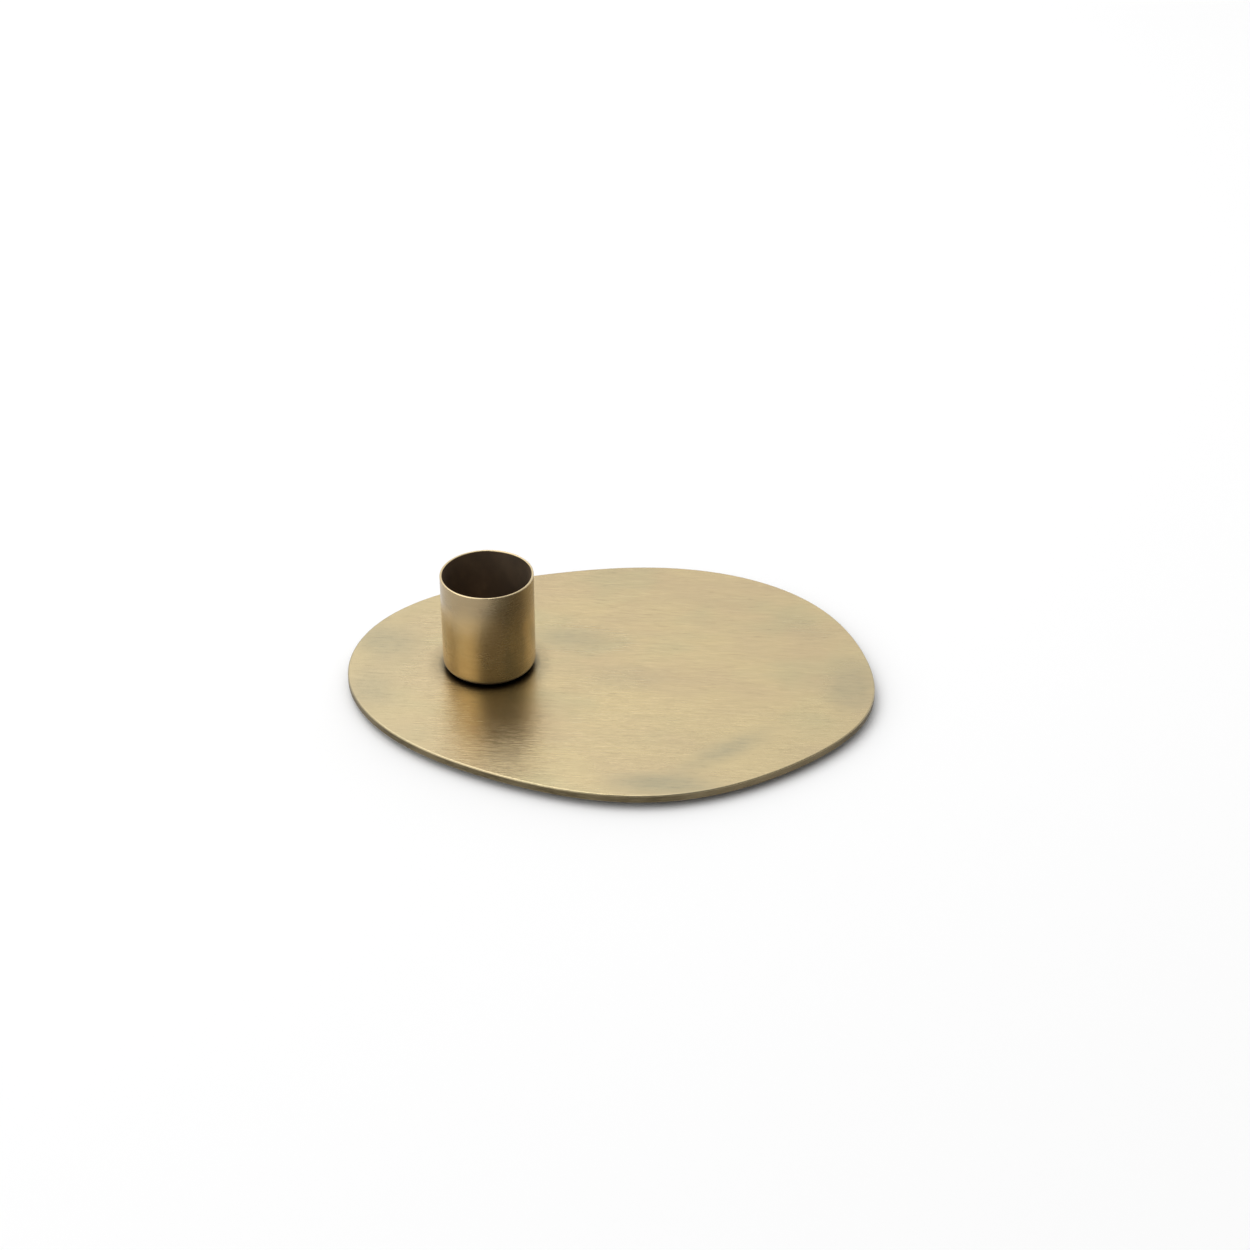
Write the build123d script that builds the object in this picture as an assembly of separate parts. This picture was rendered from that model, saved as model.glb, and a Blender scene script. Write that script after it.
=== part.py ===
from build123d import *
import math
import os

# Holder for one dinner candle: a pebble-shaped brass drip plate that carries a drawn brass cup.
# A countersunk screw comes up through the plate and clamps the cup to it with a washer and a nut.
# Millimetres, +Z up. The origin is under the middle of the plate, on the surface it stands on.

# Drip plate
plate_length = 136.0
plate_width = 105.5
plate_thickness = 2.0
plate_top_rounding = 0.4
plate_bottom_rounding = 0.25
# The outline is an ellipse whose radius swells and shrinks a little as it goes round.
# Each wave has a number of swells per turn, a height as a share of the radius, and the angle of
# its first swell in degrees.
PEBBLE_WAVES = (
    (1, 0.029, 52),
    (2, 0.0145, -74),
    (3, 0.0285, 152),
    (4, 0.008, -85),
    (5, 0.010, -51),
    (6, 0.003, -134),
    (7, 0.002, -157),
)
OUTLINE_POINTS = 72

# Candle cup
candle_diameter = 22.0
candle_clearance = 0.4
cup_height = 27.0
cup_wall = 0.6
cup_floor = 0.8
cup_outer_rounding = 2.4
cup_inner_rounding = 2.4
lip_rounding = min(0.25, 0.4 * cup_wall)
cup_from_left_end = 36.65
cup_behind_middle = 5.35

# Countersunk M3 screw with a cross recess
screw_diameter = 3.0
screw_head_diameter = 5.5
screw_head_rim = 0.25
screw_head_sink = 0.1
recess_span = 2.9
recess_wing = 0.75
recess_depth = 1.1
recess_taper = 0.35
screw_tip_chamfer = 0.35
hole_clearance = 0.2
pocket_clearance = 0.1
thread_clearance = 0.02

# Small washer and thin hexagon nut, both lying on the cup's floor
washer_diameter = 6.0
washer_thickness = 0.5
washer_clearance = 0.1
washer_rounding = 0.1
nut_across_flats = 5.5
nut_height = 1.8
nut_chamfer_angle = 30.0
nut_bore_chamfer = 0.2

# Round self-adhesive foot pads, each placed as shares of the plate's half length and half width
pad_diameter = 10.0
pad_thickness = 1.5
pad_rounding = 0.3
PAD_PLACES = ((-0.68, 0.50), (-0.65, -0.38), (0.65, -0.53), (0.68, 0.53))

# Heights and places that follow from the sizes above
plate_underside = pad_thickness
plate_top = plate_underside + plate_thickness
cup_floor_top = plate_top + cup_floor
washer_top = cup_floor_top + washer_thickness
nut_top = washer_top + nut_height
cup_x = -plate_length / 2 + cup_from_left_end
cup_y = cup_behind_middle
cup_bore_radius = candle_diameter / 2 + candle_clearance
cup_radius = cup_bore_radius + cup_wall
screw_radius = screw_diameter / 2
screw_hole_radius = screw_radius + hole_clearance
screw_face = plate_underside + screw_head_sink

STANDING = (Align.CENTER, Align.CENTER, Align.MIN)
LEVEL_TOLERANCE = 0.001


def disc(radius, bottom, top, x=cup_x, y=cup_y):
    """Solid cylinder between two heights, on the cup's axis unless placed elsewhere."""
    return Pos(x, y, bottom) * Cylinder(radius, top - bottom, align=STANDING)


def cone(low_radius, high_radius, bottom, top):
    """Solid cone between two heights, on the cup's axis."""
    return Pos(cup_x, cup_y, bottom) * Cone(low_radius, high_radius, top - bottom, align=STANDING)


def round_edges(solid, height, radius):
    """Rounds the edges of a solid that lie flat at one height."""
    low, high = height - LEVEL_TOLERANCE, height + LEVEL_TOLERANCE
    return fillet(solid.edges().filter_by_position(Axis.Z, low, high), radius)


def pebble_outline():
    """Closed smooth outline, stretched to the plate's exact length and width and centred."""
    points = []
    for step in range(OUTLINE_POINTS):
        turn = 2 * math.pi * step / OUTLINE_POINTS
        radius = 1 + sum(
            size * math.cos(count * turn - math.radians(lead)) for count, size, lead in PEBBLE_WAVES
        )
        points.append(
            (plate_length * radius * math.cos(turn), plate_width * radius * math.sin(turn))
        )
    face = make_face(Spline(points, periodic=True))
    drawn = face.bounding_box().size
    face = scale(face, by=(plate_length / drawn.X, plate_width / drawn.Y, 1))
    middle = face.bounding_box().center()
    return Pos(-middle.X, -middle.Y) * face


def screw_pocket():
    """Countersunk hole that the screw passes through, from under the plate to the cup's floor."""
    head_radius = screw_head_diameter / 2
    cone_start = screw_face + screw_head_rim
    cone_end = cone_start + head_radius - screw_hole_radius
    pocket = disc(head_radius + pocket_clearance, plate_underside, cone_start)
    pocket += cone(head_radius, screw_hole_radius, cone_start, cone_end)
    return pocket + disc(screw_hole_radius, cone_start, cup_floor_top)


def base_plate():
    """Flat pebble-shaped plate with softly rounded rims."""
    plate = Pos(0, 0, plate_underside) * extrude(pebble_outline(), plate_thickness)
    plate = round_edges(plate, plate_top, plate_top_rounding)
    plate = round_edges(plate, plate_underside, plate_bottom_rounding)
    return plate - screw_pocket()


def candle_cup():
    """Thin-walled cup with a rounded foot, a thicker floor and an eased lip."""
    cup_top = plate_top + cup_height
    outside = round_edges(disc(cup_radius, plate_top, cup_top), plate_top, cup_outer_rounding)
    inside = disc(cup_bore_radius, cup_floor_top, cup_top)
    cup = outside - round_edges(inside, cup_floor_top, cup_inner_rounding)
    cup = round_edges(cup, cup_top, lip_rounding)
    return cup - screw_pocket()


def cross_recess():
    """Tapered cross in the screw's head, open downwards."""
    recess_top = screw_face + recess_depth
    wings = Box(recess_span, recess_wing, recess_depth, align=STANDING)
    wings += Box(recess_wing, recess_span, recess_depth, align=STANDING)
    taper = cone(recess_span / 2, recess_span / 2 - recess_taper * recess_depth, screw_face, recess_top)
    return (Pos(cup_x, cup_y, screw_face) * wings) & taper


def cup_screw():
    """Countersunk screw, head down; it ends level with the nut."""
    head_radius = screw_head_diameter / 2
    cone_start = screw_face + screw_head_rim
    cone_end = cone_start + head_radius - screw_radius
    screw = disc(head_radius, screw_face, cone_start)
    screw += cone(head_radius, screw_radius, cone_start, cone_end)
    shank = disc(screw_radius, cone_start, nut_top)
    screw += chamfer(shank.edges().sort_by(Axis.Z)[-1], screw_tip_chamfer)
    return screw - cross_recess()


def cup_washer():
    """Small flat washer on the cup's floor."""
    washer = disc(washer_diameter / 2, cup_floor_top, washer_top)
    washer = round_edges(washer, washer_top, washer_rounding)
    return washer - disc(screw_radius + washer_clearance, cup_floor_top, washer_top)


def cup_nut():
    """Thin hexagon nut with its corners turned off on both faces."""
    nut = Pos(cup_x, cup_y, washer_top) * extrude(
        RegularPolygon(nut_across_flats / 2, 6, major_radius=False), nut_height
    )
    slope = math.tan(math.radians(nut_chamfer_angle))
    reach = nut_height / 2 / slope
    face_radius = nut_across_flats / 2
    middle = washer_top + nut_height / 2
    nut &= cone(face_radius, face_radius + reach, washer_top, middle) + cone(
        face_radius + reach, face_radius, middle, nut_top
    )
    nut -= disc(screw_radius + thread_clearance, washer_top, nut_top)
    bore_edges = [
        nut.edges().filter_by(GeomType.CIRCLE).group_by(SortBy.RADIUS)[0].sort_by(Axis.Z)[end]
        for end in (0, -1)
    ]
    return chamfer(bore_edges, nut_bore_chamfer)


def foot_pad(place):
    """Round pad under the plate with a softened lower edge."""
    x = place[0] * plate_length / 2
    y = place[1] * plate_width / 2
    return round_edges(disc(pad_diameter / 2, 0, plate_underside, x, y), 0, pad_rounding)


pieces = {
    "base_plate": base_plate(),
    "candle_cup": candle_cup(),
    "cup_screw": cup_screw(),
    "cup_washer": cup_washer(),
    "cup_nut": cup_nut(),
}
for number, place in enumerate(PAD_PLACES, start=1):
    pieces[f"foot_pad_{number}"] = foot_pad(place)

os.makedirs("parts", exist_ok=True)
for name, solid in pieces.items():
    export_step(solid, f"parts/{name}.step")
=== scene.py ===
import math

import bmesh
import bpy
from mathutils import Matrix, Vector


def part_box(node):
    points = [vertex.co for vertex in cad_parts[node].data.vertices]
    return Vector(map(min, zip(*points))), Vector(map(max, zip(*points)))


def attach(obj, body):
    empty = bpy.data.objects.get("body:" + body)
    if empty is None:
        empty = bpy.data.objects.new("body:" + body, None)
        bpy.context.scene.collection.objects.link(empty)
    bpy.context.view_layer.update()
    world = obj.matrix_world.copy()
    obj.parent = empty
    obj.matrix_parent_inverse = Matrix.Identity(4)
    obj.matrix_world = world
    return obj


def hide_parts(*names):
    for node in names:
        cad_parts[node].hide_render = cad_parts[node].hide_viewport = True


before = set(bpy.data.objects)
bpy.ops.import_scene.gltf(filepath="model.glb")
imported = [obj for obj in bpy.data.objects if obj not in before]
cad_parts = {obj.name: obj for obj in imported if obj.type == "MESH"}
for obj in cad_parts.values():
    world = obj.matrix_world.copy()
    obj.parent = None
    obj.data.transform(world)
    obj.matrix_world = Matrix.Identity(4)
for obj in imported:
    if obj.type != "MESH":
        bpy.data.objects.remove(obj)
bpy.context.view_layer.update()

MM = 0.001

# ---------------------------------------------------------------- places taken from the frame
plate_low, plate_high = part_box("base_plate")
cup_low, cup_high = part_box("candle_cup")
screw_low, screw_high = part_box("cup_screw")
nut_low, nut_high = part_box("cup_nut")
PADS = [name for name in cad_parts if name.startswith("foot_pad_")]

cup_centre = (cup_low + cup_high) / 2
CUP_X, CUP_Y = cup_centre.x, cup_centre.y
CUP_RADIUS = (cup_high.x - cup_low.x) / 2
CUP_WALL = 0.6 * MM
PLATE_TOP = plate_high.z

# How near two points count as one when merged, how near a point lies to a height or a rim when
# it is picked, and the sharpest angle that is shaded smooth
MERGE_GAP = 0.0005 * MM
HEIGHT_GAP = 0.001 * MM
RIM_GAP = 0.01 * MM
SMOOTH_ANGLE = math.radians(28)

# M3 screw and nut, with the coarse thread of that size
THREAD_RADIUS = 1.5 * MM
THREAD_PITCH = 0.5 * MM
THREAD_DEPTH = 0.307 * MM
THREAD_GAP = 0.02 * MM
THREAD_STEPS = 48
# One pitch of the thread: steps outwards in depths and upwards in pitches
THREAD_FLANKS = ((0, 1 / 8), (1, 5 / 16), (0, 1 / 8), (-1, 5 / 16), (0, 1 / 8))
HEAD_RIM = 0.25 * MM
HEAD_EASE = 0.05 * MM
TIP_CHAMFER = 0.35 * MM
RECESS_SPAN = 2.9 * MM
RECESS_WING = 0.75 * MM
RECESS_DEPTH = 1.1 * MM
RECESS_TAPER = 0.72
NUT_SLOPE = math.tan(math.radians(30))
NUT_CORNER_EASE = 0.08 * MM
NUT_MOUTH = 0.25 * MM
TURNING_HALF = 0.01 * MM

# Foot pads, each a rubber disc under a film of adhesive
FILM_THICKNESS = 0.15 * MM
FILM_INSET = 0.12 * MM
PAD_EASE = 0.3 * MM
PAD_BORDER = 0.9 * MM
PAD_HOLLOW = 0.12 * MM


# ---------------------------------------------------------------- modelling
def select_only(piece):
    """Makes one piece the only one selected."""
    bpy.ops.object.select_all(action="DESELECT")
    piece.select_set(True)
    bpy.context.view_layer.objects.active = piece


def edit(piece):
    """Opens one piece for editing."""
    select_only(piece)
    bpy.ops.object.mode_set(mode="EDIT")


def pick(piece, kind, test):
    """Selects the vertices, edges or faces of the piece being edited that pass a test."""
    bpy.ops.mesh.select_mode(type={"verts": "VERT", "edges": "EDGE", "faces": "FACE"}[kind])
    bpy.ops.mesh.select_all(action="DESELECT")
    mesh = bmesh.from_edit_mesh(piece.data)
    for element in getattr(mesh, kind):
        element.select = test(element)
    mesh.select_flush_mode()
    bmesh.update_edit_mesh(piece.data)


def close(piece):
    """Merges doubles, turns every face outwards and ends the editing."""
    bpy.ops.mesh.select_mode(type="VERT")
    bpy.ops.mesh.select_all(action="SELECT")
    bpy.ops.mesh.remove_doubles(threshold=MERGE_GAP)
    bpy.ops.mesh.normals_make_consistent(inside=False)
    bpy.ops.object.mode_set(mode="OBJECT")
    return piece


def settle(piece, name):
    """Names a piece and puts its place into its mesh."""
    select_only(piece)
    bpy.ops.object.transform_apply(location=True, rotation=True, scale=True)
    piece.name = name
    piece.data.name = name
    return piece


def turned_blank(name, radius, bottom, top, x=CUP_X, y=CUP_Y, sides=96):
    """Round bar between two heights, open for editing."""
    bpy.ops.object.select_all(action="DESELECT")
    bpy.ops.mesh.primitive_cylinder_add(
        vertices=sides, radius=radius, depth=top - bottom, location=(x, y, (bottom + top) / 2)
    )
    piece = settle(bpy.context.object, name)
    edit(piece)
    return piece


def level(height):
    """A test for vertices, edges or faces that lie at one height."""

    def lies_there(element):
        corners = getattr(element, "verts", None) or [element]
        return all(abs(corner.co.z - height) < HEIGHT_GAP for corner in corners)

    return lies_there


def flare(piece, height, rise, factor):
    """Extrudes the face at one height upwards and scales its far end about its middle."""
    pick(piece, "faces", level(height))
    bpy.ops.mesh.extrude_region_move(TRANSFORM_OT_translate={"value": (0, 0, rise)})
    bpy.ops.transform.resize(value=(factor, factor, 1))


def ease(piece, height, width, steps=3):
    """Rounds the edges that lie at one height."""
    pick(piece, "edges", level(height))
    bpy.ops.mesh.bevel(offset=width, segments=steps, profile=0.5)


def carve(piece, tool, operation):
    """Cuts, joins or keeps the common part of a piece and a tool, and uses the tool up."""
    select_only(piece)
    change = piece.modifiers.new("carve", "BOOLEAN")
    change.operation = operation
    change.solver = "EXACT"
    change.object = tool
    bpy.ops.object.modifier_apply(modifier=change.name)
    bpy.data.objects.remove(tool)


def threaded_bar(name, radius, bottom, top):
    """Bar with a helical thread: one pitch of the flank is drawn, run up a helix and cut level."""
    root = radius - THREAD_DEPTH
    bpy.ops.object.select_all(action="DESELECT")
    bpy.ops.mesh.primitive_plane_add(size=MM, location=(root, 0, bottom - 2 * THREAD_PITCH))
    bar = settle(bpy.context.object, name)
    edit(bar)
    bpy.ops.mesh.merge(type="CENTER")
    for outwards, upwards in THREAD_FLANKS:
        step = (outwards * THREAD_DEPTH, 0, upwards * THREAD_PITCH)
        bpy.ops.mesh.extrude_region_move(TRANSFORM_OT_translate={"value": step})
    bpy.ops.object.mode_set(mode="OBJECT")

    bpy.ops.object.transform_apply(location=True)
    helix = bar.modifiers.new("helix", "SCREW")
    helix.screw_offset = THREAD_PITCH
    helix.iterations = math.ceil((top - bottom) / THREAD_PITCH) + 3
    helix.steps = helix.render_steps = THREAD_STEPS
    helix.use_merge_vertices = True
    helix.merge_threshold = MERGE_GAP
    bpy.ops.object.modifier_apply(modifier=helix.name)
    edit(bar)
    bpy.ops.mesh.select_all(action="SELECT")
    bpy.ops.mesh.remove_doubles(threshold=MERGE_GAP)
    for height, clear_below in ((bottom, True), (top, False)):
        bpy.ops.mesh.select_all(action="SELECT")
        bpy.ops.mesh.bisect(
            plane_co=(0, 0, height),
            plane_no=(0, 0, 1),
            use_fill=True,
            clear_inner=clear_below,
            clear_outer=not clear_below,
            threshold=0.00001 * MM,
        )
    close(bar)
    bar.location = (CUP_X, CUP_Y, 0)
    return settle(bar, name)


def core_face(side):
    """A test for the face of the cross's core that looks to one side, and not a wing's flank."""

    def test(face):
        place = face.calc_center_median() - Vector((CUP_X, CUP_Y, 0))
        off_axis = abs(place.x * side.y - place.y * side.x)
        return face.normal.dot(side) > 0.9 and off_axis < RECESS_WING / 4

    return test


def cross_bit(bottom, top):
    """Tapered cross that the driver's recess is cut with."""
    bpy.ops.object.select_all(action="DESELECT")
    bpy.ops.mesh.primitive_cube_add(size=RECESS_WING, location=(CUP_X, CUP_Y, (bottom + top) / 2))
    bit = bpy.context.object
    bit.scale.z = (top - bottom) / RECESS_WING
    settle(bit, "cross_bit")
    edit(bit)
    for side in (Vector((1, 0, 0)), Vector((-1, 0, 0)), Vector((0, 1, 0)), Vector((0, -1, 0))):
        pick(bit, "faces", core_face(side))
        wing = side * (RECESS_SPAN - RECESS_WING) / 2
        bpy.ops.mesh.extrude_region_move(TRANSFORM_OT_translate={"value": wing})
    pick(bit, "verts", level(top))
    bpy.ops.transform.resize(
        value=(RECESS_TAPER, RECESS_TAPER, 1), center_override=(CUP_X, CUP_Y, top)
    )
    return close(bit)


def screw():
    """Countersunk screw: turned head, rolled thread, chamfered tip and cross recess."""
    head_radius = (screw_high.x - screw_low.x) / 2
    cone_start = screw_low.z + HEAD_RIM
    head = turned_blank("cup_screw_detailed", head_radius, screw_low.z, cone_start)
    ease(head, screw_low.z, HEAD_EASE)
    neck_radius = THREAD_RADIUS - THREAD_DEPTH / 2
    flare(head, cone_start, head_radius - neck_radius, neck_radius / head_radius)
    ease(head, cone_start, HEAD_EASE)
    close(head)

    shank = threaded_bar("shank", THREAD_RADIUS, cone_start, screw_high.z)
    tip = turned_blank("tip", THREAD_RADIUS + THREAD_DEPTH, screw_low.z, screw_high.z)
    pick(tip, "edges", level(screw_high.z))
    bpy.ops.mesh.bevel(offset=TIP_CHAMFER + THREAD_DEPTH, segments=1)
    close(tip)
    carve(shank, tip, "INTERSECT")
    carve(head, shank, "UNION")
    carve(head, cross_bit(screw_low.z - HEAD_RIM, screw_low.z + RECESS_DEPTH), "DIFFERENCE")
    edit(head)
    return close(head)


def nut():
    """Hexagon nut with its corners turned off, a countersunk mouth at each end and a thread."""
    across_flats = nut_high.y - nut_low.y
    flats_lie_across_y = across_flats < nut_high.x - nut_low.x
    across_flats = min(across_flats, nut_high.x - nut_low.x)
    corner = across_flats / math.sqrt(3)
    turn = 90 if flats_lie_across_y else 0
    bottom, top = nut_low.z, nut_high.z
    bpy.ops.object.select_all(action="DESELECT")
    bpy.ops.mesh.primitive_cylinder_add(
        vertices=6,
        radius=corner,
        depth=top - bottom,
        location=(CUP_X, CUP_Y, (bottom + top) / 2),
        rotation=(0, 0, math.radians(turn)),
    )
    body = settle(bpy.context.object, "cup_nut_detailed")
    edit(body)
    half_height = (top - bottom) / 2
    pick(body, "edges", lambda edge: abs(edge.verts[0].co.z - edge.verts[1].co.z) > half_height)
    bpy.ops.mesh.bevel(offset=NUT_CORNER_EASE, segments=3, profile=0.5)
    close(body)

    middle = (bottom + top) / 2
    face_radius = across_flats / 2
    widest = face_radius + (middle - bottom) / NUT_SLOPE
    turning = turned_blank("turning", widest, middle - TURNING_HALF, middle + TURNING_HALF)
    flare(turning, middle + TURNING_HALF, top - middle, face_radius / widest)
    flare(turning, middle - TURNING_HALF, bottom - middle, face_radius / widest)
    close(turning)
    carve(body, turning, "INTERSECT")

    bore = THREAD_RADIUS + THREAD_GAP
    carve(body, threaded_bar("tap", bore, bottom - HEAD_RIM, top + HEAD_RIM), "DIFFERENCE")
    for end, inwards in ((bottom, 1), (top, -1)):
        outside = end - inwards * MM
        mouth = turned_blank("mouth", bore + NUT_MOUTH, min(end, outside), max(end, outside))
        flare(mouth, end, inwards * NUT_MOUTH * 2, (bore - NUT_MOUTH) / (bore + NUT_MOUTH))
        carve(body, close(mouth), "DIFFERENCE")
    edit(body)
    return close(body)


def foot_pad(name):
    """Moulded rubber disc with a rounded lower rim and a shallow hollow, and its adhesive film."""
    low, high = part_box(name)
    x, y = (low.x + high.x) / 2, (low.y + high.y) / 2
    radius = (high.x - low.x) / 2
    pad = turned_blank(name + "_rubber", radius, low.z, high.z - FILM_THICKNESS, x, y)
    pick(pad, "faces", level(low.z))
    bpy.ops.mesh.inset(thickness=PAD_BORDER)
    bpy.ops.mesh.inset(thickness=PAD_EASE, depth=-PAD_HOLLOW)
    bpy.ops.mesh.inset(thickness=radius - PAD_BORDER - 2 * PAD_EASE)

    def on_rim(edge):
        out = min(math.hypot(corner.co.x - x, corner.co.y - y) for corner in edge.verts)
        return level(low.z)(edge) and out > radius - RIM_GAP

    pick(pad, "edges", on_rim)
    bpy.ops.mesh.bevel(offset=PAD_EASE, segments=5, profile=0.5)
    ease(pad, high.z - FILM_THICKNESS, PAD_EASE / 3, 2)
    close(pad)

    film = turned_blank(name + "_film", radius - FILM_INSET, high.z - FILM_THICKNESS, high.z, x, y)
    ease(film, high.z - FILM_THICKNESS, FILM_THICKNESS / 4, 1)
    close(film)
    return pad, film


def hand_over(piece, finish, slot, *nodes):
    """Gives a piece its finish and smooth faces, hangs it on the root body and hides the CAD nodes
    it stands for.
    """
    piece.data.materials.clear()
    piece.data.materials.append(finish)
    select_only(piece)
    bpy.ops.object.shade_smooth_by_angle(angle=SMOOTH_ANGLE)
    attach(piece, "root")
    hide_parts(*nodes)


# ---------------------------------------------------------------- shader writing
class Wire:
    """One value on its way through a finish. Sums written with it add Math nodes."""

    def __init__(self, finish, socket):
        self.finish = finish
        self.socket = socket

    def sum(self, operation, first, second):
        return self.finish.node("ShaderNodeMath", {"operation": operation}, {0: first, 1: second})

    def __add__(self, other):
        return self.sum("ADD", self, other)

    def __radd__(self, other):
        return self.sum("ADD", other, self)

    def __sub__(self, other):
        return self.sum("SUBTRACT", self, other)

    def __rsub__(self, other):
        return self.sum("SUBTRACT", other, self)

    def __mul__(self, other):
        return self.sum("MULTIPLY", self, other)

    def __rmul__(self, other):
        return self.sum("MULTIPLY", other, self)

    def __truediv__(self, other):
        return self.sum("DIVIDE", self, other)


class Finish:
    """One material, written as sums on wires. Positions on it are in millimetres."""

    def __init__(self, name, **settings):
        self.material = bpy.data.materials.new(name)
        self.material.use_nodes = True
        self.tree = self.material.node_tree
        self.shader = self.tree.nodes["Principled BSDF"]
        for label, value in settings.items():
            self.shader.inputs[label.replace("_", " ")].default_value = value

    def node(self, kind, settings, inputs, output=0):
        """Adds any node: its settings first, then a value or a wire for each of its sockets."""
        made = self.tree.nodes.new(kind)
        for label, value in settings.items():
            setattr(made, label, value)
        for label, value in inputs.items():
            if isinstance(value, Wire):
                self.tree.links.new(value.socket, made.inputs[label])
            else:
                made.inputs[label].default_value = value
        return Wire(self, made.outputs[output])

    def place(self, centre=(0, 0, 0), size=(1, 1, 1), turn=0):
        """Object coordinates in millimetres from a centre, turned about +Z and divided by a size."""
        here = self.node("ShaderNodeTexCoord", {}, {}, "Object")
        offset = self.node("ShaderNodeVectorMath", {"operation": "SUBTRACT"}, {0: here, 1: centre})
        turned = self.node(
            "ShaderNodeVectorRotate", {"rotation_type": "Z_AXIS"}, {"Vector": offset, "Angle": turn}
        )
        return self.stretch(turned, [1 / (length * MM) for length in size])

    def stretch(self, vector, factors):
        """A vector with each coordinate times its own factor."""
        return self.node("ShaderNodeVectorMath", {"operation": "MULTIPLY"}, {0: vector, 1: factors})

    def part(self, vector, axis):
        """One coordinate of a vector, by its letter."""
        return self.node("ShaderNodeSeparateXYZ", {}, {"Vector": vector}, axis)

    def noise(self, vector, detail=2.0, roughness=0.5):
        """Soft random value from 0 to 1, about one swell per unit of the vector."""
        return self.node(
            "ShaderNodeTexNoise",
            {"noise_dimensions": "3D"},
            {"Vector": vector, "Scale": 1.0, "Detail": detail, "Roughness": roughness},
        )

    def rise(self, value, low, high, start=0.0, end=1.0):
        """Smooth step from start to end while the value goes from low to high."""
        return self.node(
            "ShaderNodeMapRange",
            {"interpolation_type": "SMOOTHSTEP"},
            {"Value": value, "From Min": low, "From Max": high, "To Min": start, "To Max": end},
        )

    def length(self, vector):
        """How long a vector is."""
        return self.node("ShaderNodeVectorMath", {"operation": "LENGTH"}, {0: vector}, "Value")

    def tint(self, mask, below, above):
        """Colour that goes from below to above as the mask goes from 0 to 1."""
        colours = {
            6: below if isinstance(below, Wire) else (*below, 1.0),
            7: above if isinstance(above, Wire) else (*above, 1.0),
        }
        return self.node("ShaderNodeMix", {"data_type": "RGBA"}, {0: mask, **colours}, 2)

    def coat_with(self, colour, roughness, height):
        """Connects the finish's varying values; height is a relief in millimetres."""
        links = self.tree.links
        links.new(colour.socket, self.shader.inputs["Base Color"])
        links.new(roughness.socket, self.shader.inputs["Roughness"])
        relief = self.node("ShaderNodeBump", {}, {"Strength": 1.0, "Distance": MM, "Height": height})
        links.new(relief.socket, self.shader.inputs["Normal"])
        return self.material


# ---------------------------------------------------------------- finishes
BRASS_BRIGHT = (0.570, 0.456, 0.252)
BRASS_WARM = (0.540, 0.424, 0.246)
BRASS_GREEN = (0.478, 0.420, 0.242)
BRASS_DULL_AND_SHADE = (0.345, 0.306, 0.200)
CUP_GOLD = (0.67, 0.505, 0.270)
CUP_WARM = (0.60, 0.445, 0.230)
CUP_REFLECTION_GREY = (0.40, 0.306, 0.178)
CUP_LIP = (0.64, 0.515, 0.310)
BRASS_HIGHLIGHT = (0.86, 0.74, 0.50)
BRASS_OXIDE = (0.16, 0.125, 0.075)
PAINTED_SHADE_BLACK = (0.030, 0.024, 0.014)
EDGE_DARK = (0.10, 0.080, 0.045)
EDGE_LIGHT = (0.20, 0.160, 0.090)
EDGE_WORN = (0.27, 0.215, 0.130)
INSIDE_DARK = (0.29, 0.225, 0.165)
INSIDE_LIGHT = (0.37, 0.285, 0.200)
ZINC_DARK = (0.50, 0.50, 0.48)
ZINC_LIGHT = (0.66, 0.66, 0.64)
ZINC_SPECK = (0.30, 0.30, 0.30)
RUBBER_DARK = (0.018, 0.018, 0.019)
RUBBER_LIGHT = (0.040, 0.040, 0.040)
RUBBER_DUST = (0.09, 0.09, 0.088)
TAPE_DARK = (0.62, 0.60, 0.53)
TAPE_LIGHT = (0.74, 0.72, 0.66)

# Dull marks on the plate's top: middle in mm from the plate's middle, length, width, turn in
# degrees, and how dark.
PATINA_MARKS = (
    ((-12, 17), 23, 9, -8, 0.55),
    ((2, -3), 16, 9, 10, 0.25),
    ((30, -33), 21, 6, 38, 0.70),
    ((13, -48), 18, 6, -4, 0.80),
    ((-60, 15), 11, 13, 60, 0.65),
    ((-61, -7), 8, 13, 10, 0.50),
    ((62, -6), 10, 18, -15, 0.55),
    ((52, 22), 14, 8, -35, 0.20),
)
MARK_HEIGHT = 50
GRAIN_TURN = math.radians(4)


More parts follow.
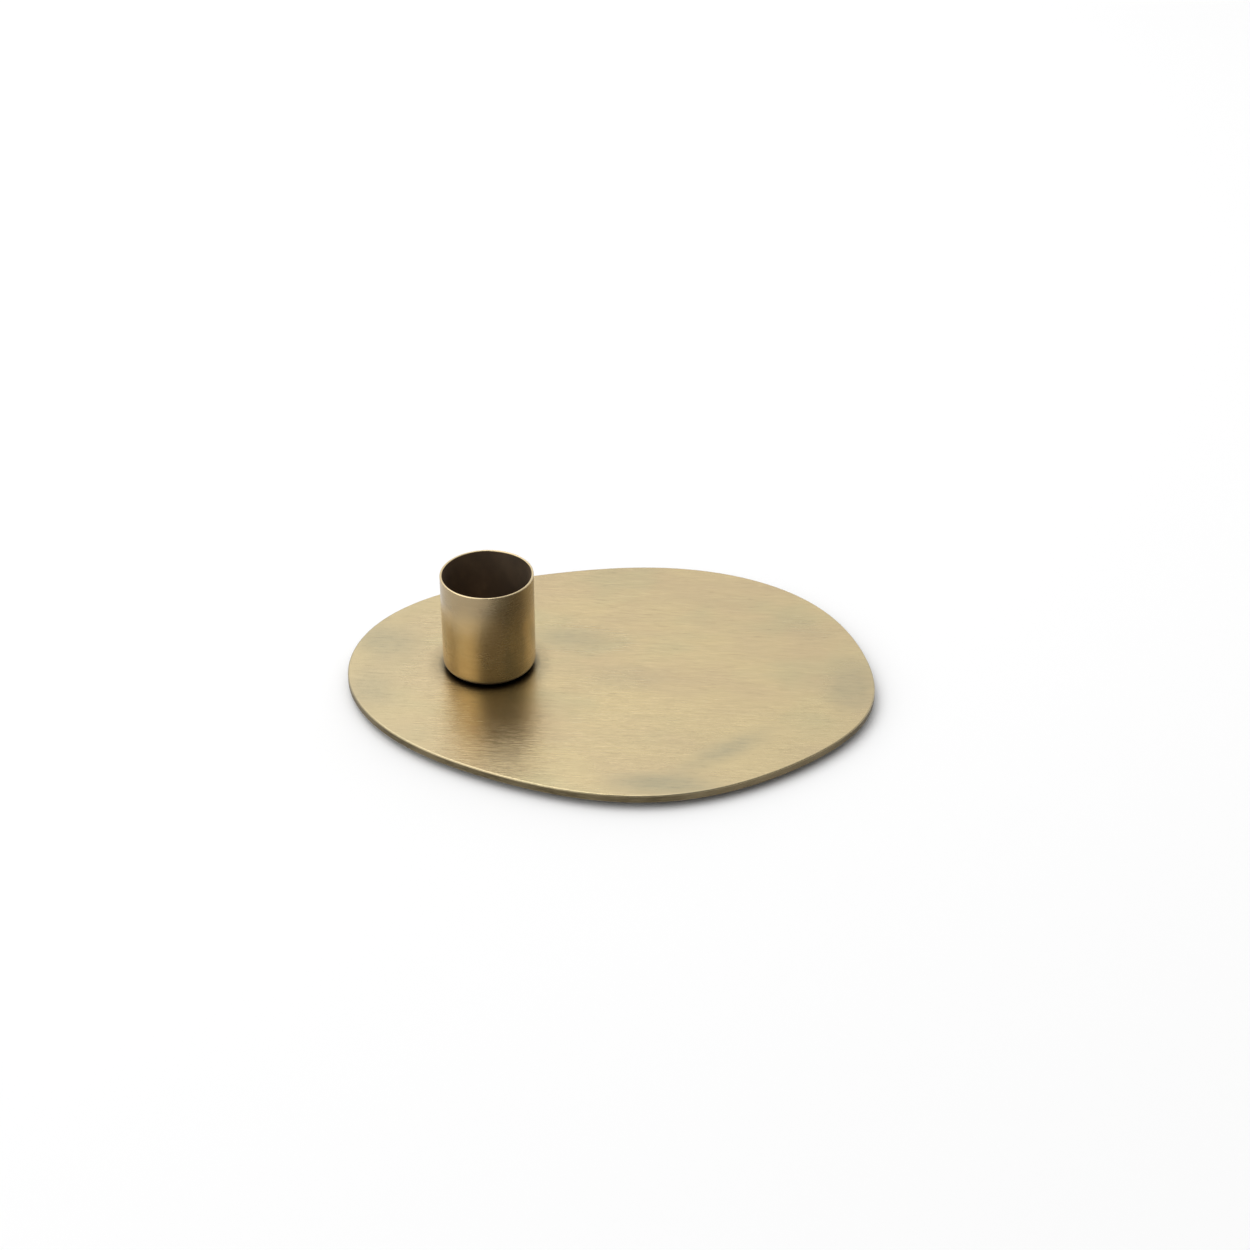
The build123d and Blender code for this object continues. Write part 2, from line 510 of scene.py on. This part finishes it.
def plate_finish():
    """Antique brass, brushed along the plate, with patina marks, painted shade on the upper rim, at
    the front and round the cup, and a dark cut edge.
    """
    f = Finish("brushed_antique_brass", Metallic=1.0)
    above = f.place((0, 0, PLATE_TOP))
    height = f.part(above, "Z")

    sway = f.noise(f.place(size=(60, 30, 30)), 1.0) - 0.5
    straight = f.place(turn=GRAIN_TURN)
    aside = f.node("ShaderNodeCombineXYZ", {}, {"Y": sway * 0.8})
    grain_place = f.node("ShaderNodeVectorMath", {"operation": "ADD"}, {0: straight, 1: aside})

    def along_grain(length, width):
        """Coordinates for strokes of the brush: long along the plate, narrow across it."""
        return f.stretch(grain_place, (1 / length, 1 / width, 1 / width))

    hair = f.noise(along_grain(6, 0.20), 2.0, 0.6)
    line = f.noise(along_grain(7, 0.7), 3.0, 0.6)
    dash = f.noise(along_grain(3.6, 0.75), 3.0, 0.65)
    streak = f.noise(along_grain(55, 3.5), 3.0, 0.6)

    cloud = f.noise(f.place(size=(34, 22, 22), turn=0.4), 3.0, 0.55)
    bloom = f.noise(f.place((40 * MM, 9 * MM, 0), (26, 17, 17), -0.2), 2.0, 0.5)
    colour = f.tint(f.rise(cloud, 0.35, 0.68), BRASS_WARM, BRASS_BRIGHT)
    colour = f.tint(f.rise(bloom, 0.48, 0.72, 0.0, 0.55), colour, BRASS_GREEN)

    dull_and_shade = 0
    for (x, y), length, width, turn, depth in PATINA_MARKS:
        middle = (x * MM, y * MM, PLATE_TOP)
        spot = f.length(f.place(middle, (length, width, MARK_HEIGHT), math.radians(-turn)))
        mark = f.rise(spot + (cloud - 0.5) * 0.8, 0.1, 1.4, 1.0, 0.0)
        dull_and_shade = dull_and_shade + mark * mark * depth
    dull_and_shade = dull_and_shade * (0.3 + dash * 1.5)
    # The front and the cup's end are painted a little darker than the rest: painted shade that evens
    # out the light on the plate.
    front_and_end_shade = f.rise(f.part(above, "Y"), -52, 8, 0.18, 0.0)
    front_and_end_shade = front_and_end_shade + f.rise(f.part(above, "X"), -66, -24, 0.36, 0.0)
    dull_and_shade = dull_and_shade + front_and_end_shade * (1 - dull_and_shade)
    # Patina marks and the painted shade at the front and the cup's end darken the brass.
    colour = f.tint(dull_and_shade, colour, BRASS_DULL_AND_SHADE)
    colour = f.tint(f.rise(streak, 0.3, 0.75, 0.10, 0.0), colour, BRASS_DULL_AND_SHADE)
    colour = f.tint(f.rise(dash, 0.55, 0.78, 0.0, 0.22), colour, BRASS_OXIDE)
    colour = f.tint(f.rise(line * 0.6 + hair * 0.4, 0.35, 0.65, 0.10, 0.0), colour, BRASS_OXIDE)

    # Painted shade: the plate's top is painted black in a narrow ring round the cup and a little
    # darker for a few millimetres beyond it, where the cup's shade falls.
    from_cup = f.length(f.place((CUP_X, CUP_Y, PLATE_TOP))) - CUP_RADIUS / MM
    corner = f.rise(from_cup + (dash - 0.5) * 0.8, -1.2, 1.8, 0.95, 0.0)
    ring_shade = f.rise(from_cup, 0.0, 5.5, 0.35, 0.0)
    corner = corner + ring_shade * (1 - corner)
    # The painted shade round the cup is laid on the plate's top only.
    colour = f.tint(corner * f.rise(height, -0.1, -0.05), colour, PAINTED_SHADE_BLACK)

    # The upper rim is painted a little darker than the top, as painted shade that tones down its
    # highlight; the cut edge below it is left dark, and the lower rim is lighter.
    rim = f.rise(height, -0.30, -0.06, 0.0, 1.0) * f.rise(height, -0.03, -0.005, 1.0, 0.0)
    edge = f.rise(height, -0.42, -0.22, 1.0, 0.0)
    lower_rim = f.rise(height, -1.82, -1.72, 1.0, 0.0) * f.rise(height, -2.0, -1.95)
    along_edge = f.noise(f.place(size=(3, 3, 0.35)), 4.0, 0.65)
    blotch = f.noise(f.place(size=(18, 18, 40)), 2.0)
    edge_colour = f.tint(f.rise(along_edge, 0.3, 0.75), EDGE_DARK, EDGE_LIGHT)
    edge_colour = f.tint(f.rise(blotch, 0.4, 0.7, 0.0, 0.6), edge_colour, EDGE_WORN)
    colour = f.tint(edge, colour, edge_colour)
    # Painted shade darkens the upper rim.
    colour = f.tint(rim * 0.45, colour, BRASS_DULL_AND_SHADE)
    colour = f.tint(lower_rim * 0.6, colour, BRASS_BRIGHT)

    roughness = 0.25 + (cloud - 0.5) * 0.08 + dull_and_shade * 0.12 + (hair - 0.5) * 0.06 + edge * 0.18
    relief = hair * 0.045 + line * 0.005 + streak * 0.004 + cloud * 0.02
    return f.coat_with(colour, roughness, relief + along_edge * edge * 0.012)


def cup_finish():
    """The same brass, turned on a lathe: fine rings round the cup, worn lip, oxidised inside, a
    painted reflection on its upper part and a painted highlight and painted shade low down.
    """
    f = Finish("turned_antique_brass", Metallic=1.0)
    here = f.place((CUP_X, CUP_Y, PLATE_TOP))
    height = f.part(here, "Z")
    radius = f.length(f.stretch(here, (1, 1, 0)))
    top = (cup_high.z - PLATE_TOP) / MM

    def round_axis(length, width):
        """Coordinates for rings: long round the cup, short up it."""
        return f.stretch(here, (1 / length, 1 / length, 1 / width))

    hair = f.noise(round_axis(2.5, 0.10), 2.0, 0.6)
    ring = f.noise(round_axis(8.0, 0.45), 3.0, 0.6)
    cloud = f.noise(f.place(size=(11, 11, 9), turn=0.7), 3.0, 0.55)
    drip = f.noise(f.place((3 * MM, 0, 0), (2.2, 2.2, 16)), 2.0, 0.5)

    colour = f.tint(f.rise(cloud, 0.35, 0.68), CUP_WARM, CUP_GOLD)
    # Painted reflection: the upper part of the cup is painted greyer and darker, as the shaded floor
    # would look in it.
    top_reflection = f.rise(height + (cloud - 0.5) * 16, top - 14, top - 2)
    colour = f.tint(top_reflection, colour, CUP_REFLECTION_GREY)
    colour = f.tint(f.rise(cloud * 0.6 + drip * 0.4, 0.48, 0.70, 0.0, 0.35), colour, BRASS_DULL_AND_SHADE)
    colour = f.tint(f.rise(hair * 0.5 + ring * 0.5, 0.35, 0.7, 0.15, 0.0), colour, BRASS_OXIDE)

    inner = (CUP_RADIUS - CUP_WALL) / MM
    inside = f.rise(radius, inner + 0.2, inner + 0.4, 1.0, 0.0) * f.rise(height, 0.3, 0.7)
    inside = inside * f.rise(height, top - 0.40, top - 0.15, 1.0, 0.0)
    soot = f.noise(f.place(size=(5, 5, 7)), 3.0)
    dark = f.tint(f.rise(soot, 0.35, 0.7), INSIDE_DARK, INSIDE_LIGHT)
    colour = f.tint(inside, colour, dark)
    lip = f.rise(height, top - 0.30, top - 0.06)
    # Painted highlight: a band from about one to two and a half millimetres up the cup is painted
    # paler brass.
    foot_highlight = f.rise(height, 0.9, 1.2) * f.rise(height, 1.6, 2.4, 1.0, 0.0) * (1 - inside)
    # Painted shade: the cup's outside is painted black below about one millimetre, where it meets
    # the plate.
    foot_shade = f.rise(height, 0.45, 1.0, 1.0, 0.0) * (1 - inside)
    colour = f.tint(lip * 0.8, colour, CUP_LIP)
    colour = f.tint(foot_highlight * 0.35, colour, BRASS_HIGHLIGHT)
    colour = f.tint(foot_shade * 0.95, colour, PAINTED_SHADE_BLACK)

    roughness = 0.26 + (cloud - 0.5) * 0.10 + (hair - 0.5) * 0.06 + inside * 0.30
    relief = hair * 0.010 + ring * 0.0030 + cloud * 0.008
    return f.coat_with(colour, roughness, relief)


def steel_finish():
    """Zinc-plated steel with fine turning rings round the screw's axis and dull specks."""
    f = Finish("zinc_plated_steel", Metallic=1.0)
    here = f.place((CUP_X, CUP_Y, 0))
    radius = f.length(f.stretch(here, (1, 1, 0)))
    rings = f.noise(f.node("ShaderNodeCombineXYZ", {}, {"X": radius / 0.09}), 2.0)
    cloud = f.noise(f.place(size=(1.6, 1.6, 1.6)), 3.0)
    speck = f.noise(f.place(size=(0.18, 0.18, 0.18)), 3.0)
    colour = f.tint(f.rise(cloud, 0.3, 0.7), ZINC_DARK, ZINC_LIGHT)
    colour = f.tint(f.rise(speck, 0.55, 0.75, 0.0, 0.35), colour, ZINC_SPECK)
    roughness = 0.30 + (cloud - 0.5) * 0.16 + (speck - 0.5) * 0.1
    return f.coat_with(colour, roughness, rings * 0.002 + speck * 0.002)


def rubber_finish():
    """Black rubber with a fine moulded grain and a little dust."""
    f = Finish("black_rubber", Metallic=0.0)
    grain = f.noise(f.place(size=(0.22, 0.22, 0.22)), 3.0, 0.6)
    cloud = f.noise(f.place(size=(3.5, 3.5, 3.5)), 2.0)
    colour = f.tint(f.rise(cloud, 0.35, 0.7), RUBBER_DARK, RUBBER_LIGHT)
    colour = f.tint(f.rise(grain, 0.6, 0.8, 0.0, 0.5), colour, RUBBER_DUST)
    roughness = 0.72 + (cloud - 0.5) * 0.2
    return f.coat_with(colour, roughness, grain * 0.02)


def tape_finish():
    """Milky double-sided tape that holds a pad."""
    f = Finish("adhesive_tape", IOR=1.48)
    cloud = f.noise(f.place(size=(1.8, 1.8, 0.4)), 3.0)
    colour = f.tint(f.rise(cloud, 0.3, 0.7), TAPE_DARK, TAPE_LIGHT)
    return f.coat_with(colour, 0.45 + (cloud - 0.5) * 0.2, cloud * 0.01)


# ---------------------------------------------------------------- studio
# Each glow of the tent: its direction, the cosines where it starts and is full, and its
# brightness outside and inside.
TENT_GLOWS = (
    ((0.0, 0.84, 0.54), 0.10, 0.85, 0.27, 1.10),
    ((-0.70, -0.45, 0.55), 0.80, 0.99, 0.0, 1.35),
)
SOFTBOX_DIRECTION = (-0.33, 0.34, 1.0)
SOFTBOX_DISTANCE = 1.3
SOFTBOX_SIZE = (1.2, 1.1)
SOFTBOX_POWER = 7.2
FLOOR_SIZE = 80.0
FLOOR_WHITE = (0.92, 0.92, 0.92, 1.0)
CAMERA_LENS = 71.6
CAMERA_FROM_CUP_FOOT = Vector((35.2, -538.1, 359.1)) * MM
CAMERA_DOWN = 32.86


def studio_floor():
    """Plain white table."""
    bpy.ops.mesh.primitive_plane_add(size=FLOOR_SIZE)
    floor = bpy.context.object
    floor.name = "floor"
    white = bpy.data.materials.new("white_table")
    white.use_nodes = True
    shader = white.node_tree.nodes["Principled BSDF"]
    shader.inputs["Base Color"].default_value = FLOOR_WHITE
    shader.inputs["Roughness"].default_value = 0.9
    shader.inputs["Specular IOR Level"].default_value = 0.1
    floor.data.materials.append(white)


def softbox():
    """Area light that faces the object; hidden from the camera, seen in reflections."""
    light = bpy.data.lights.new("top_softbox", "AREA")
    light.shape = "RECTANGLE"
    light.size, light.size_y = SOFTBOX_SIZE
    light.energy = SOFTBOX_POWER
    lamp = bpy.data.objects.new("top_softbox", light)
    bpy.context.collection.objects.link(lamp)
    towards = Vector(SOFTBOX_DIRECTION).normalized()
    lamp.location = towards * SOFTBOX_DISTANCE
    lamp.rotation_euler = towards.to_track_quat("Z", "Y").to_euler()
    lamp.visible_camera = False


def tent():
    """Soft tent: bright behind, dim on the camera's side, and with a glow from the left."""
    world = bpy.data.worlds.new("tent")
    bpy.context.scene.world = world
    world.use_nodes = True
    nodes, links = world.node_tree.nodes, world.node_tree.links
    direction = nodes.new("ShaderNodeTexCoord")
    brightness = None
    for towards, start, end, low, high in TENT_GLOWS:
        facing = nodes.new("ShaderNodeVectorMath")
        facing.operation = "DOT_PRODUCT"
        facing.inputs[1].default_value = Vector(towards).normalized()
        links.new(direction.outputs["Generated"], facing.inputs[0])
        glow = nodes.new("ShaderNodeMapRange")
        glow.interpolation_type = "SMOOTHSTEP"
        ramp = {"From Min": start, "From Max": end, "To Min": low, "To Max": high}
        for socket, value in ramp.items():
            glow.inputs[socket].default_value = value
        links.new(facing.outputs["Value"], glow.inputs["Value"])
        if brightness is None:
            brightness = glow.outputs["Result"]
            continue
        both = nodes.new("ShaderNodeMath")
        links.new(brightness, both.inputs[0])
        links.new(glow.outputs["Result"], both.inputs[1])
        brightness = both.outputs[0]
    background = nodes["Background"]
    links.new(brightness, background.inputs["Strength"])
    background.inputs["Color"].default_value = (1.0, 1.0, 1.0, 1.0)


def camera():
    """Looks along +Y from above."""
    made = bpy.data.cameras.new("camera")
    made.sensor_width = 36.0
    made.lens = CAMERA_LENS
    seen = bpy.data.objects.new("camera", made)
    bpy.context.collection.objects.link(seen)
    seen.location = Vector((CUP_X, CUP_Y, PLATE_TOP)) + CAMERA_FROM_CUP_FOOT
    seen.rotation_euler = (math.radians(90 - CAMERA_DOWN), 0, 0)
    bpy.context.scene.camera = seen


# ---------------------------------------------------------------- making
bpy.ops.object.select_all(action="DESELECT")
bpy.context.scene.view_settings.view_transform = "Standard"
studio_floor()
tent()
softbox()
camera()

plate_brass = plate_finish()
cup_brass = cup_finish()
steel = steel_finish()
rubber = rubber_finish()
tape = tape_finish()

for name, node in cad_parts.items():
    finish = {"base_plate": plate_brass, "candle_cup": cup_brass}.get(name)
    if finish is None:
        finish = rubber if name in PADS else steel
    for slot in node.material_slots:
        slot.material = finish

hand_over(screw(), steel, "fastener_steel", "cup_screw")
hand_over(nut(), steel, "fastener_steel", "cup_nut")
for name in PADS:
    pad, film = foot_pad(name)
    hand_over(pad, rubber, "pad_rubber", name)
    hand_over(film, tape, "pad_rubber", name)
